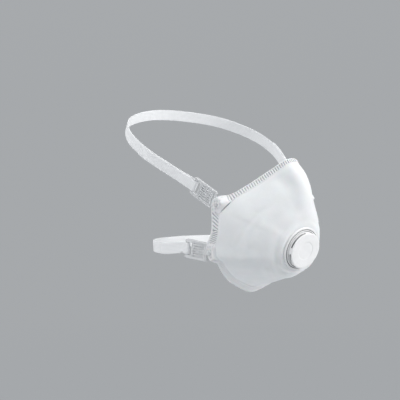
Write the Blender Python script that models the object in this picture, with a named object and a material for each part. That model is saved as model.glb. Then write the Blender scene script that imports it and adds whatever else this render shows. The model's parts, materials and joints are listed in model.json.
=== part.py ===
"""Cup-shaped disposable dust mask with an exhalation valve and two buckled elastic headbands.

Lengths in this file are millimetres, and Part.mesh_object turns them into metres.
Frame: origin at the centre of the face opening, +Z up, +Y into the wearer's face, -Y out of the mask.
The wearer's right side is -X. Everything is symmetric about X = 0.
"""

import math

import bmesh
import bpy
from mathutils import Matrix, Vector

# ---------------------------------------------------------------- driving dimensions, mm
MM = 0.001
GAP = 0.3

# Each station of the half outline, from the nose to the chin on the +X side:
# foot of the cup wall, outer edge of the welded flange, handle that the wall leaves its foot along,
# and how far the front carries on past the valve pad before it turns into the wall.
STATIONS = [
    ((0.0, -31.0, 55.3), (0.0, -28.0, 59.3), (0.0, -18.9, -14.2), 25.0),  # top of the nose
    ((7.0, -30.3, 53.6), (7.8, -27.0, 57.4), (2.6, -16.0, -12.8), 22.7),  # side of the nose
    ((16.2, -23.2, 45.2), (18.0, -19.3, 49.0), (2.4, -11.6, -11.0), 16.3),
    ((30.0, -13.0, 33.8), (32.0, -9.3, 37.7), (1.2, -10.9, -5.8), 8.0),  # cheekbone
    ((42.0, -4.1, 25.8), (45.0, -0.9, 29.0), (1.1, -9.4, -3.3), 3.8),
    ((49.5, 0.8, 18.2), (52.5, 5.0, 27.0), (0.5, -8.4, -2.1), 3.2),  # upper ear
    ((53.0, 4.0, 13.0), (56.5, 11.8, 22.0), (0.3, -7.5, -1.0), 3.0),
    ((54.3, 5.0, 6.5), (56.8, 11.8, 9.3), (0.2, -7.5, 0.0), 2.7),
    ((54.8, 5.5, -5.0), (56.8, 12.5, -4.0), (0.0, -8.0, 0.0), 2.4),  # side
    ((54.3, 9.0, -16.0), (56.5, 18.5, -15.5), (0.0, -11.0, 0.0), 2.0),  # lower ear
    ((53.0, 9.7, -25.1), (55.5, 16.7, -26.1), (0.0, -13.0, 0.5), 2.3),
    ((48.4, 8.0, -29.9), (50.4, 12.5, -31.4), (0.0, -14.0, 0.5), 2.6),
    ((39.3, 10.0, -38.5), (41.8, 14.0, -41.5), (0.3, -17.0, 1.0), 3.4),  # jaw
    ((25.1, 14.3, -47.1), (26.6, 18.8, -51.1), (0.3, -20.0, 2.5), 3.2),
    ((0.0, 17.5, -55.0), (0.0, 22.0, -60.3), (0.0, -22.0, 4.0), 3.0),  # under the chin
]
PER_SEGMENT = 2
FAN_CENTRE_Z = -8.0
WALL_ROWS = [i / 7 for i in range(1, 8)]
FLANGE_ROWS = [0.2, 0.6, 1.0]

OUTER_THICK, FILTER_THICK, INNER_THICK, CLIP_THICK, FOAM_THICK = 0.8, 0.7, 0.6, 0.5, 3.0
FILTER_DEPTH = OUTER_THICK + GAP
INNER_DEPTH = FILTER_DEPTH + FILTER_THICK + GAP
CLIP_DEPTH = INNER_DEPTH + INNER_THICK + GAP
FOAM_DEPTH = CLIP_DEPTH + CLIP_THICK + GAP

VALVE_CENTRE = (0.0, -39.5, -18.0)
VALVE_TILT = 17.0
PAD_RADIUS = 21.2
HOLE_RADIUS = 15.0
SPIGOT_RADIUS = 14.4
SEAT_BORE = 11.4
SEAT_RADIUS = 19.4
COVER_RADIUS = 16.0
COVER_TOP = 6.8
FLAP_RADIUS = 12.6
FLAP_HINGE_Y = 10.0
FLAP_BASE = 2.2
FLAP_THICK = 0.4

EAR_PLANE_X = 56.6
UPPER_STUD = (6.8, 19.5)
LOWER_STUD = (15.2, -23.0)
EAR_FLAT_RADIUS, EAR_BLEND_RADIUS = 6.0, 9.5
STUD_RADIUS = 0.9
STUD_HEAD_RADIUS = 1.9
STUD_CAP_RADIUS = 2.3

EYE_THICK, EYE_RADIUS = 1.0, 2.7
EYE_X = EAR_PLANE_X - OUTER_THICK - 1.4 - EYE_THICK / 2
BUCKLE_START, BUCKLE_END, BUCKLE_WIDTH = 6.5, 31.0, 16.5
BUCKLE_THICK = 2.0
BAR_WIDTH = 3.0
SLOT_WIDTH, SLOT_HEIGHT = 4.2, 11.4
BUCKLE_POSE = {"upper": (34.0, 18.0), "lower": (6.2, 8.0)}  # slope and outward lean in degrees

BAND_WIDTH, BAND_THICK = 10.0, 0.9
BAND_STEP = 6.0
# Points that half of each band passes through, from the buckle to the middle of the back.
UPPER_RUN = [
    (68.5, 51.5, 48.2), (77.5, 78.0, 64.0), (73.0, 105.0, 78.0), (49.0, 132.0, 90.0), (0.0, 149.0, 95.5),
]
LOWER_RUN = [(61.5, 66.0, -21.0), (57.0, 88.0, -21.0), (36.0, 110.0, -21.0), (0.0, 119.0, -21.0)]
# Centre and half sizes of the rounded form that each band lies flat against.
UPPER_HEAD = ((0.0, 62.0, 48.0), (80.0, 96.0, 118.0))
LOWER_HEAD = ((0.0, 54.0, 30.0), (66.0, 66.0, 240.0))
UPPER_TAIL, LOWER_TAIL = 58.0, 26.0


# ---------------------------------------------------------------- helpers
def clear_scene():
    for thing in list(bpy.data.objects):
        bpy.data.objects.remove(thing, do_unlink=True)


def material(name, colour, roughness, metallic=0.0, alpha=1.0):
    made = bpy.data.materials.new(name)
    made.use_nodes = True
    shader = made.node_tree.nodes["Principled BSDF"]
    shader.inputs["Base Color"].default_value = (*colour, 1.0)
    shader.inputs["Roughness"].default_value = roughness
    shader.inputs["Metallic"].default_value = metallic
    shader.inputs["Alpha"].default_value = alpha
    return made


def place(obj, parent=None, location=(0, 0, 0), rotation=None):
    obj.location = Vector(location) * MM
    if rotation is not None:
        obj.rotation_euler = rotation.to_euler()
    obj.parent = parent
    bpy.context.scene.collection.objects.link(obj)
    return obj


def pivot(name, location, rotation=None):
    return place(bpy.data.objects.new(name, None), None, location, rotation)


def mesh_object(name, shape, finish, parent=None, location=(0, 0, 0), rotation=None):
    """An object made from a bmesh in millimetres, shaded smooth but for its sharp edges."""
    bmesh.ops.scale(shape, vec=(MM, MM, MM), verts=shape.verts)
    mesh = bpy.data.meshes.new(name)
    shape.to_mesh(mesh)
    shape.free()
    mesh.shade_smooth()
    mesh.set_sharp_from_angle(angle=math.radians(35))
    mesh.materials.append(finish)
    return place(bpy.data.objects.new(name, mesh), parent, location, rotation)


def copy_object(source, name, parent, location, rotation):
    return place(bpy.data.objects.new(name, source.data), parent, location, rotation)


def cut(target, cutter):
    cutter.hide_render = True
    cutter.display_type = "WIRE"
    knife = target.modifiers.new("cut", "BOOLEAN")
    knife.operation = "DIFFERENCE"
    knife.object = cutter
    knife.use_self = True


def join(target, other):
    other.hide_render = True
    other.display_type = "WIRE"
    glue = target.modifiers.new("join", "BOOLEAN")
    glue.operation = "UNION"
    glue.object = other


def frame_matrix(x_axis, y_axis, z_axis):
    return Matrix((x_axis, y_axis, z_axis)).transposed()


def smooth_step(value):
    value = min(1.0, max(0.0, value))
    return value * value * (3 - 2 * value)


def spline(points, per_segment, closed):
    """Points along a Catmull-Rom curve through the given vectors."""
    count = len(points)
    made = []
    for i in range(count if closed else count - 1):
        if closed:
            a, b, c, d = (points[(i + k) % count] for k in (-1, 0, 1, 2))
        else:
            b, c = points[i], points[i + 1]
            a = points[i - 1] if i > 0 else b * 2 - c
            d = points[i + 2] if i + 2 < count else c * 2 - b
        for k in range(per_segment):
            t = k / per_segment
            squared, cubed = a * 2 - b * 5 + c * 4 - d, b * 3 - a - c * 3 + d
            made.append((b * 2 + (c - a) * t + squared * t**2 + cubed * t**3) / 2)
    return made if closed else made + [points[-1]]


def revolve(profile, steps=40):
    """A closed solid from a closed (radius, height) outline that runs anticlockwise, turned about Z."""
    shape = bmesh.new()
    rings = []
    for k in range(steps):
        a = 2 * math.pi * k / steps
        rings.append([shape.verts.new((r * math.cos(a), r * math.sin(a), h)) for r, h in profile])
    for k in range(steps):
        here, there = rings[k], rings[(k + 1) % steps]
        for i in range(len(profile)):
            j = (i + 1) % len(profile)
            shape.faces.new((here[i], there[i], there[j], here[j]))
    bmesh.ops.remove_doubles(shape, verts=shape.verts, dist=1e-4)
    bmesh.ops.recalc_face_normals(shape, faces=shape.faces)
    return shape


def box(low, high):
    shape = bmesh.new()
    add_box(shape, low, high)
    return shape


def add_box(shape, low, high):
    low, high = Vector(low), Vector(high)
    made = bmesh.ops.create_cube(shape, size=1.0)["verts"]
    size = high - low
    bmesh.ops.scale(shape, vec=size, verts=made)
    bmesh.ops.translate(shape, vec=(low + high) / 2, verts=made)


def add_sector(shape, inner, outer, low, high, start, end, steps=10):
    """A solid slice of a ring about Z, from angle start to angle end in degrees."""
    rows = []
    for k in range(steps + 1):
        a = math.radians(start + (end - start) * k / steps)
        rows.append(
            [
                shape.verts.new((r * math.cos(a), r * math.sin(a), h))
                for r, h in ((inner, low), (outer, low), (outer, high), (inner, high))
            ]
        )
    for here, there in zip(rows, rows[1:]):
        for i in range(4):
            j = (i + 1) % 4
            shape.faces.new((here[i], here[j], there[j], there[i]))
    shape.faces.new(rows[0][::-1])
    shape.faces.new(rows[-1])


def prism(outline, low, high):
    """A flat plate from an (x, y) outline that runs anticlockwise."""
    shape = bmesh.new()
    base = shape.faces.new([shape.verts.new((x, y, low)) for x, y in outline])
    risen = bmesh.ops.extrude_face_region(shape, geom=[base])["geom"]
    top = [v for v in risen if isinstance(v, bmesh.types.BMVert)]
    bmesh.ops.translate(shape, vec=(0, 0, high - low), verts=top)
    bmesh.ops.recalc_face_normals(shape, faces=shape.faces)
    return shape


def arc(centre, radius, start, end, steps):
    angles = [math.radians(start + (end - start) * k / steps) for k in range(steps + 1)]
    return [(centre[0] + radius * math.cos(a), centre[1] + radius * math.sin(a)) for a in angles]


# ---------------------------------------------------------------- the cup
class Cup:
    """The moulded surface as a grid: columns go round the outline, rows from the valve hole to the edge."""

    def __init__(self):
        tilt = math.radians(VALVE_TILT)
        self.valve_up = Vector((0, -math.sin(tilt), math.cos(tilt)))
        self.valve_out = Vector((0, -math.cos(tilt), -math.sin(tilt)))
        feet, edges, handles = (self.loop(k) for k in range(3))
        self.rows = self.pad_rows(feet) + self.wall_rows(feet, handles, self.reaches())
        self.wall_end = len(self.rows) - 1
        self.rows += self.flange_rows(feet, edges)

    def loop(self, k):
        half = [Vector(station[k]) for station in STATIONS]
        mirrored = [Vector((-p.x, p.y, p.z)) for p in half[-2:0:-1]]
        return spline(half + mirrored, PER_SEGMENT, closed=True)

    def reaches(self):
        half = [Vector((station[3], 0, 0)) for station in STATIONS]
        return [p.x for p in spline(half + half[-2:0:-1], PER_SEGMENT, closed=True)]

    def spoke(self, foot):
        angle = math.atan2(foot.z - FAN_CENTRE_Z, foot.x)
        return Vector((1, 0, 0)) * math.cos(angle) + self.valve_up * math.sin(angle)

    def pad_rows(self, feet):
        centre = Vector(VALVE_CENTRE)
        radii = (HOLE_RADIUS, PAD_RADIUS)
        return [[centre + self.spoke(foot) * radius for foot in feet] for radius in radii]

    def wall_rows(self, feet, handles, reaches):
        centre = Vector(VALVE_CENTRE)
        rows = []
        for t in WALL_ROWS:
            row = []
            for foot, handle, reach in zip(feet, handles, reaches):
                spoke = self.spoke(foot)
                start = centre + spoke * PAD_RADIUS
                a, b, c, d = start, start + spoke * reach, foot + handle, foot
                near_end = a * (1 - t) ** 3 + b * (3 * t * (1 - t) ** 2)
                row.append(near_end + c * (3 * t**2 * (1 - t)) + d * t**3)
            rows.append(row)
        return rows

    def flange_rows(self, feet, edges):
        return [
            [self.pressed(foot.lerp(edge, share), share) for foot, edge in zip(feet, edges)]
            for share in FLANGE_ROWS
        ]

    def pressed(self, point, share):
        """The flange is pressed flat and square to X round each stud."""
        for y, z in (UPPER_STUD, LOWER_STUD):
            away = math.hypot(point.y - y, point.z - z)
            weight = smooth_step((EAR_BLEND_RADIUS - away) / (EAR_BLEND_RADIUS - EAR_FLAT_RADIUS))
            weight *= min(1.0, share * 5)
            flat = math.copysign(EAR_PLANE_X, point.x)
            point = Vector((point.x + (flat - point.x) * weight, point.y, point.z))
        return point

    def normals(self):
        """The outward normal at each grid point."""
        count = len(self.rows[0])
        found = []
        for r, row in enumerate(self.rows):
            before, after = self.rows[max(r - 1, 0)], self.rows[min(r + 1, len(self.rows) - 1)]
            found.append(
                [
                    (row[(c + 1) % count] - row[c - 1]).cross(after[c] - before[c]).normalized()
                    for c in range(count)
                ]
            )
        return found


def sheet(cup, depth, thick, first_row, last_row, columns=None):
    """Part of the cup's surface, sunk by depth below the outside and given a thickness inwards."""
    normals = cup.normals()
    count = len(cup.rows[0])
    picked = list(range(count)) if columns is None else columns
    shape = bmesh.new()
    layers = []
    for sunk in (depth, depth + thick):
        layers.append(
            [
                [shape.verts.new(cup.rows[r][c % count] - normals[r][c % count] * sunk) for c in picked]
                for r in range(first_row, last_row + 1)
            ]
        )
    front, back = layers
    rows, closed = len(front), columns is None
    spans = len(picked) if closed else len(picked) - 1
    for c in range(spans):
        n = (c + 1) % len(picked)
        for r in range(rows - 1):
            shape.faces.new((front[r][c], front[r + 1][c], front[r + 1][n], front[r][n]))
            shape.faces.new((back[r][c], back[r][n], back[r + 1][n], back[r + 1][c]))
        for r in (0, rows - 1):
            shape.faces.new((front[r][c], front[r][n], back[r][n], back[r][c]))
    if not closed:
        for c in (0, len(picked) - 1):
            for r in range(rows - 1):
                shape.faces.new((front[r][c], back[r][c], back[r + 1][c], front[r + 1][c]))
    bmesh.ops.recalc_face_normals(shape, faces=shape.faces)
    return shape


def stud_places():
    """Name, side of the face (-1 is the wearer's right) and (y, z) of each of the four studs."""
    for level, spot in (("upper", UPPER_STUD), ("lower", LOWER_STUD)):
        for side_name, side in (("right", -1), ("left", 1)):
            yield f"{level}_{side_name}", level, side, spot


def make_cup(finishes):
    cup = Cup()
    last = len(cup.rows) - 1
    outer = mesh_object("outer_shell", sheet(cup, 0, OUTER_THICK, 0, last), finishes["nonwoven"])
    holes = bmesh.new()
    for _, _, side, (y, z) in stud_places():
        turn = Matrix.Translation((side * EAR_PLANE_X, y, z)) @ Matrix.Rotation(math.pi / 2, 4, "Y")
        size = {"radius1": STUD_RADIUS + GAP, "radius2": STUD_RADIUS + GAP, "depth": 8}
        bmesh.ops.create_cone(holes, cap_ends=True, segments=16, matrix=turn, **size)
    cut(outer, mesh_object("stud_hole_cutter", holes, finishes["nonwoven"]))
    filter_shape = sheet(cup, FILTER_DEPTH, FILTER_THICK, 0, cup.wall_end - 1)
    mesh_object("filter_layer", filter_shape, finishes["filter"])
    inner_shape = sheet(cup, INNER_DEPTH, INNER_THICK, 0, cup.wall_end - 1)
    mesh_object("inner_shell", inner_shape, finishes["liner"])
    across_nose = range(-3 * PER_SEGMENT, 3 * PER_SEGMENT + 1)
    mesh_object(
        "nose_clip",
        sheet(cup, CLIP_DEPTH, CLIP_THICK, cup.wall_end - 2, cup.wall_end - 1, across_nose),
        finishes["aluminium"],
    )
    mesh_object(
        "nose_foam",
        sheet(cup, FOAM_DEPTH, FOAM_THICK, cup.wall_end - 3, cup.wall_end - 1, across_nose),
        finishes["foam"],
    )
    return cup


# ---------------------------------------------------------------- the exhalation valve
def make_valve(cup, finishes):
    turn = frame_matrix(Vector((1, 0, 0)), cup.valve_up, cup.valve_out)
    centre = Vector(VALVE_CENTRE)

    def spot(y, z):
        return centre + cup.valve_up * y + cup.valve_out * z

    seat_profile = [
        (SEAT_BORE, 1.2), (SEAT_BORE + 0.4, 1.9), (12.6, 1.9), (13.0, 1.3), (16.6, 1.3), (16.9, 2.4),
        (17.6, 2.4), (17.9, 1.6), (18.8, 1.5), (SEAT_RADIUS, 0.9), (SEAT_RADIUS, GAP), (SPIGOT_RADIUS, GAP),
        (SPIGOT_RADIUS, -5.1), (13.0, -5.1), (13.0, -0.4), (SEAT_BORE, -0.4),
    ]
    seat = mesh_object("valve_seat", revolve(seat_profile[::-1]), finishes["valve"], None, centre, turn)
    half = SEAT_BORE + 0.8
    spokes = (("level", (half, 0.9), -0.3, 1.3), ("upright", (0.9, half), -0.2, 1.4))
    for name, (x, y), low, high in spokes:
        bar = box((-x, -y, low), (x, y, high))
        join(seat, mesh_object(f"seat_bar_{name}", bar, finishes["valve"], None, centre, turn))

    inner = SPIGOT_RADIUS + GAP
    ring_profile = [(inner, -4.6), (19.0, -4.6), (19.4, -4.2), (19.4, -3.0), (inner, -3.0)]
    mesh_object("valve_retaining_ring", revolve(ring_profile), finishes["valve"], None, centre, turn)

    flap_turn = math.degrees(math.acos(FLAP_HINGE_Y / FLAP_RADIUS))
    outline = arc((0, -FLAP_HINGE_Y), FLAP_RADIUS, 90 + flap_turn, 450 - flap_turn, 36)
    hinge = pivot("flap_pivot", spot(FLAP_HINGE_Y, FLAP_BASE + FLAP_THICK / 2), turn)
    mesh_object("valve_flap", prism(outline, -FLAP_THICK / 2, FLAP_THICK / 2), finishes["silicone"], hinge)
    clamp = box((-6.0, FLAP_HINGE_Y + GAP, FLAP_BASE), (6.0, FLAP_HINGE_Y + 2.3, FLAP_BASE + 1.2))
    mesh_object("flap_clamp", clamp, finishes["valve"], None, centre, turn)

    top, under, foot = COVER_TOP, COVER_TOP - 1.2, 1.7
    cover_profile = [
        (0, under), (COVER_RADIUS - 1.6, under), (COVER_RADIUS - 1.6, foot), (COVER_RADIUS, foot),
        (COVER_RADIUS, top - 0.7), (COVER_RADIUS - 0.3, top - 0.2), (COVER_RADIUS - 0.9, top),
        (8.4, top), (7.6, top - 0.3), (0, top - 0.3),
    ]
    cover = mesh_object("valve_cover", revolve(cover_profile), finishes["valve"], None, centre, turn)
    windows = bmesh.new()
    for k in range(4):
        add_sector(windows, COVER_RADIUS - 3, COVER_RADIUS + 2, foot + 2.0, under, 10 + 90 * k, 80 + 90 * k)
    bmesh.ops.recalc_face_normals(windows, faces=windows.faces)
    cut(cover, mesh_object("cover_window_cutter", windows, finishes["valve"], None, centre, turn))


# ---------------------------------------------------------------- studs and buckles
def make_studs(finishes):
    inside = EYE_X - EAR_PLANE_X - EYE_THICK / 2
    stud_profile = [
        (0, inside - 1.2), (STUD_RADIUS, inside - 1.2), (STUD_RADIUS, 0.35), (STUD_HEAD_RADIUS, 0.35),
        (STUD_HEAD_RADIUS, 0.6), (STUD_HEAD_RADIUS - 0.7, 0.9), (0, 0.9),
    ]
    bore = STUD_RADIUS + GAP
    cap_profile = [
        (0, inside - 2.3), (STUD_CAP_RADIUS - 0.6, inside - 2.3), (STUD_CAP_RADIUS, inside - 1.7),
        (STUD_CAP_RADIUS, inside - 0.35), (bore, inside - 0.35), (bore, inside - 1.6), (0, inside - 1.6),
    ]
    for kind, profile in (("ear_stud", stud_profile), ("stud_cap", cap_profile)):
        first = None
        for name, _, side, (y, z) in stud_places():
            outward = Vector((side, 0, 0))
            turn = frame_matrix(Vector((0, 0, 1)), outward.cross(Vector((0, 0, 1))), outward)
            place_at = (side * EAR_PLANE_X, y, z)
            if first is None:
                shape = revolve(profile, 14)
                first = mesh_object(f"{kind}_{name}", shape, finishes["clear"], None, place_at, turn)
            else:
                copy_object(first, f"{kind}_{name}", None, place_at, turn)


def bend_plate(shape, lean):
    """Past the bend line the buckle leans outwards, as the band does along the side of the head."""
    for v in shape.verts:
        along = v.co.x - BUCKLE_START
        if along > 0:
            v.co.x = BUCKLE_START + along * math.cos(lean) - v.co.z * math.sin(lean)
            v.co.z = along * math.sin(lean) + v.co.z * math.cos(lean)


def buckle_parts(finishes, place_at, turn, lean, parent, name):
    """The clear buckle: an eye on the stud, a neck, and a ribbed plate with a slot and a bar for the band."""
    neck, eye, corner, half = 2.3, EYE_RADIUS, 1.5, BUCKLE_WIDTH / 2
    reach = math.degrees(math.asin(neck / eye))
    neck_end = BUCKLE_START + 0.6
    plate = arc((0, 0), eye, reach, 360 - reach, 16) + [(neck_end, -neck), (neck_end, neck)]
    eye_plate = prism(plate, -EYE_THICK / 2, EYE_THICK / 2)
    corners = [
        (BUCKLE_END - corner, half - corner, 0), (BUCKLE_START + corner, half - corner, 90),
        (BUCKLE_START + corner, corner - half, 180), (BUCKLE_END - corner, corner - half, 270),
    ]
    outline = [p for x, y, a in corners for p in arc((x, y), corner, a, a + 90, 3)]
    body_shape = prism(outline, EYE_THICK / 2 - BUCKLE_THICK, EYE_THICK / 2)
    openings = bmesh.new()
    slot_end = BUCKLE_END - BAR_WIDTH
    add_box(openings, (slot_end - SLOT_WIDTH, -SLOT_HEIGHT / 2, -3), (slot_end, SLOT_HEIGHT / 2, 4))
    grooves, pitch = 7, 1.9
    for k in range(grooves):
        middle = (k - (grooves - 1) / 2) * pitch
        groove_end = slot_end - SLOT_WIDTH - 2.0
        add_box(openings, (BUCKLE_START + 3.2, middle - 0.6, -0.6), (groove_end, middle + 0.6, 4))
    bar_low = (slot_end - 0.5, -SLOT_HEIGHT / 2, EYE_THICK / 2 - 0.5)
    add_box(openings, bar_low, (BUCKLE_END + 1, SLOT_HEIGHT / 2, 4))
    for shape in (body_shape, openings):
        bend_plate(shape, math.radians(lean))
    bore = STUD_RADIUS + 0.4
    hole = revolve([(0, -3), (bore, -3), (bore, 3), (0, 3)], 16)

    def buckle_object(part_name, shape):
        return mesh_object(part_name, shape, finishes["clear"], parent, place_at, turn)

    body = buckle_object(name, body_shape)
    cut(body, buckle_object(f"{name}_cutter", openings))
    join(body, buckle_object(f"{name}_eye_plate", eye_plate))
    cut(body, buckle_object(f"{name}_eye_cutter", hole))


def buckle_frame(side, slope):
    """Axes of a buckle's flat part: along the band, across it, and out from the face."""
    angle = math.radians(slope)
    along = Vector((0, math.cos(angle), math.sin(angle)))
    outward = Vector((side, 0, 0))
    return along, outward.cross(along), outward


def make_buckles(finishes, pivots):
    for name, level, side, (y, z) in stud_places():
        slope, lean = BUCKLE_POSE[level]
        turn = frame_matrix(*buckle_frame(side, slope))
        buckle_parts(finishes, (side * EYE_X, 0, 0), turn, lean, pivots[level], f"buckle_{name}")


# ---------------------------------------------------------------- headbands
def evenly(points, step):
    """Points on the polyline at even spacing."""
    lengths = [0.0]
    for a, b in zip(points, points[1:]):
        lengths.append(lengths[-1] + (b - a).length)
    count = max(2, round(lengths[-1] / step))
    made, i = [], 0
    for k in range(count + 1):
        want = lengths[-1] * k / count
        while i < len(points) - 2 and lengths[i + 1] < want:
            i += 1
        span = lengths[i + 1] - lengths[i]
        made.append(points[i].lerp(points[i + 1], (want - lengths[i]) / span))
    return made


def band_stations(stud, slope, lean, run, head, tail_length):
    """Half a headband on the +X side, tail end first, as (centre, across, outward) at each station."""
    along, across, outward = buckle_frame(1, slope)
    lean = math.radians(lean)
    plate_along = along * math.cos(lean) + outward * math.sin(lean)
    plate_out = outward * math.cos(lean) - along * math.sin(lean)
    origin = Vector((EYE_X, *stud)) + along * BUCKLE_START

    def on_plate(u, w):
        return origin + plate_along * (u - BUCKLE_START) + plate_out * w

    low = EYE_THICK / 2 - BUCKLE_THICK - GAP - 0.1 - BAND_THICK / 2
    high = EYE_THICK / 2 - 0.5 + GAP + 0.1 + BAND_THICK / 2
    middle, turn_radius = (low + high) / 2, (high - low) / 2
    fold_u = BUCKLE_END - BAR_WIDTH - GAP - 0.1 - BAND_THICK / 2 + turn_radius
    fold = [
        (on_plate(fold_u + turn_radius * math.cos(a), middle + turn_radius * math.sin(a)),
         plate_out * math.sin(a) + plate_along * math.cos(a))
        for a in (math.pi * (0.5 + k / 8) for k in range(9))
    ]
    start = on_plate(BUCKLE_END + 3, low)
    route = [on_plate(BUCKLE_END - 4, low), start] + [Vector(p) for p in run]
    beyond = Vector((-run[-2][0], run[-2][1], run[-2][2]))
    curve = evenly(spline(route + [beyond], 12, closed=False)[12:-12], BAND_STEP)
    centre, radii = Vector(head[0]), head[1]
    main = []
    for i, point in enumerate(curve):
        before, after = curve[max(i - 1, 0)], curve[min(i + 1, len(curve) - 1)]
        ahead = plate_along if i == 0 else (after - before).normalized()
        if i == len(curve) - 1:
            ahead = Vector((-1, 0, 0))
        away = point - centre
        skin = Vector([away[k] / radii[k] ** 2 for k in range(3)]).normalized()
        share = smooth_step(i * BAND_STEP / 40)
        normal = plate_out.lerp(skin, share)
        normal = (normal - ahead * normal.dot(ahead)).normalized()
        main.append((point, ahead.cross(normal).normalized() * -1, normal))
    tail = []
    over = BAND_THICK + GAP + 0.05
    for i, (point, wide, normal) in enumerate(main):
        if i * BAND_STEP > tail_length:
            break
        lift = over + (high - low - over) * (1 - smooth_step((i * BAND_STEP + 3) / 20))
        tail.append((point + normal * lift, wide, normal))
    wide = main[0][1]
    loop = [(point, wide, normal) for point, normal in fold]
    lead_out = (on_plate(BUCKLE_END, high), wide, plate_out)
    lead_in = (on_plate(BUCKLE_END, low), wide, plate_out * -1)
    inner = [(point, across_it, normal * -1) for point, across_it, normal in main]
    return tail[::-1] + [lead_out] + loop + [lead_in] + inner


def band_shape(stations, origin):
    """A flat strip swept along the stations and their mirror images."""
    whole = list(stations)
    for station in stations[-2::-1]:
        whole.append([Vector((-v.x, v.y, v.z)) for v in station])
    shape = bmesh.new()
    rings = []
    for point, wide, normal in whole:
        across, up = wide * BAND_WIDTH / 2, normal * BAND_THICK / 2
        corners = (across + up, across - up, -across - up, -across + up)
        rings.append([shape.verts.new(point + corner - origin) for corner in corners])
    for here, there in zip(rings, rings[1:]):
        for i in range(4):
            j = (i + 1) % 4
            shape.faces.new((here[i], here[j], there[j], there[i]))
    shape.faces.new(rings[0][::-1])
    shape.faces.new(rings[-1])
    bmesh.ops.recalc_face_normals(shape, faces=shape.faces)
    return shape


def make_bands(finishes, pivots):
    for level, stud, run, head, tail in (
        ("upper", UPPER_STUD, UPPER_RUN, UPPER_HEAD, UPPER_TAIL),
        ("lower", LOWER_STUD, LOWER_RUN, LOWER_HEAD, LOWER_TAIL),
    ):
        stations = band_stations(stud, *BUCKLE_POSE[level], run, head, tail)
        shape = band_shape(stations, Vector((0, *stud)))
        mesh_object(f"{level}_headband", shape, finishes["elastic"], pivots[level])


def main():
    clear_scene()
    finishes = {
        "nonwoven": material("moulded_nonwoven", (0.90, 0.91, 0.92), 0.9),
        "filter": material("filter_web", (0.93, 0.94, 0.95), 0.95),
        "liner": material("liner", (0.88, 0.88, 0.87), 0.95),
        "foam": material("foam", (0.75, 0.76, 0.78), 1.0),
        "aluminium": material("aluminium", (0.80, 0.81, 0.82), 0.4, metallic=1.0),
        "valve": material("valve_plastic", (0.93, 0.93, 0.93), 0.35),
        "silicone": material("silicone", (0.85, 0.86, 0.84), 0.5),
        "clear": material("clear_plastic", (0.90, 0.92, 0.94), 0.15, alpha=0.5),
        "elastic": material("woven_elastic", (0.93, 0.94, 0.95), 0.85),
    }
    cup = make_cup(finishes)
    make_valve(cup, finishes)
    make_studs(finishes)
    pivots = {
        "upper": pivot("upper_band_pivot", (0, *UPPER_STUD)),
        "lower": pivot("lower_band_pivot", (0, *LOWER_STUD)),
    }
    make_buckles(finishes, pivots)
    make_bands(finishes, pivots)
    bpy.context.view_layer.update()


main()
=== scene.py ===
import json  # noqa: E402
import math  # noqa: E402

import bmesh  # noqa: E402
import bpy  # noqa: E402
import numpy as np  # noqa: E402
from mathutils import Matrix, Vector  # noqa: E402

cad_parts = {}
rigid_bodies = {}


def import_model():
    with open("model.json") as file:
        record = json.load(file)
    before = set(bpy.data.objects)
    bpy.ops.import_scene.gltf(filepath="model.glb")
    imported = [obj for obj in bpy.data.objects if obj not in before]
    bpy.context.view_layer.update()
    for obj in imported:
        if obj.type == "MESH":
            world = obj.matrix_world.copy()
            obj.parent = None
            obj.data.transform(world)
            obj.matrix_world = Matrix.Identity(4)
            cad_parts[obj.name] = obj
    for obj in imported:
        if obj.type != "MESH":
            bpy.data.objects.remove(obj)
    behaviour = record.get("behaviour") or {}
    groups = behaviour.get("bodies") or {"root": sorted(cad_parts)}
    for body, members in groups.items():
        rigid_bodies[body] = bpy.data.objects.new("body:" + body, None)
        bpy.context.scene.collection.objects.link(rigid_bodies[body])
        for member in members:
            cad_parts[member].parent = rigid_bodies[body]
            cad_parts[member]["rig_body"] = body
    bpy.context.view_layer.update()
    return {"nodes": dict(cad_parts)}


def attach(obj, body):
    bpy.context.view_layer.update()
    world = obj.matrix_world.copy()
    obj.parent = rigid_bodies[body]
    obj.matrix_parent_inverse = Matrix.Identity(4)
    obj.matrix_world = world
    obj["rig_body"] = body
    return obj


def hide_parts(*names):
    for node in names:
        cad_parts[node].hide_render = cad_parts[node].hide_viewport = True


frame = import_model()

MM = 0.001
GAP = 0.3

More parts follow.
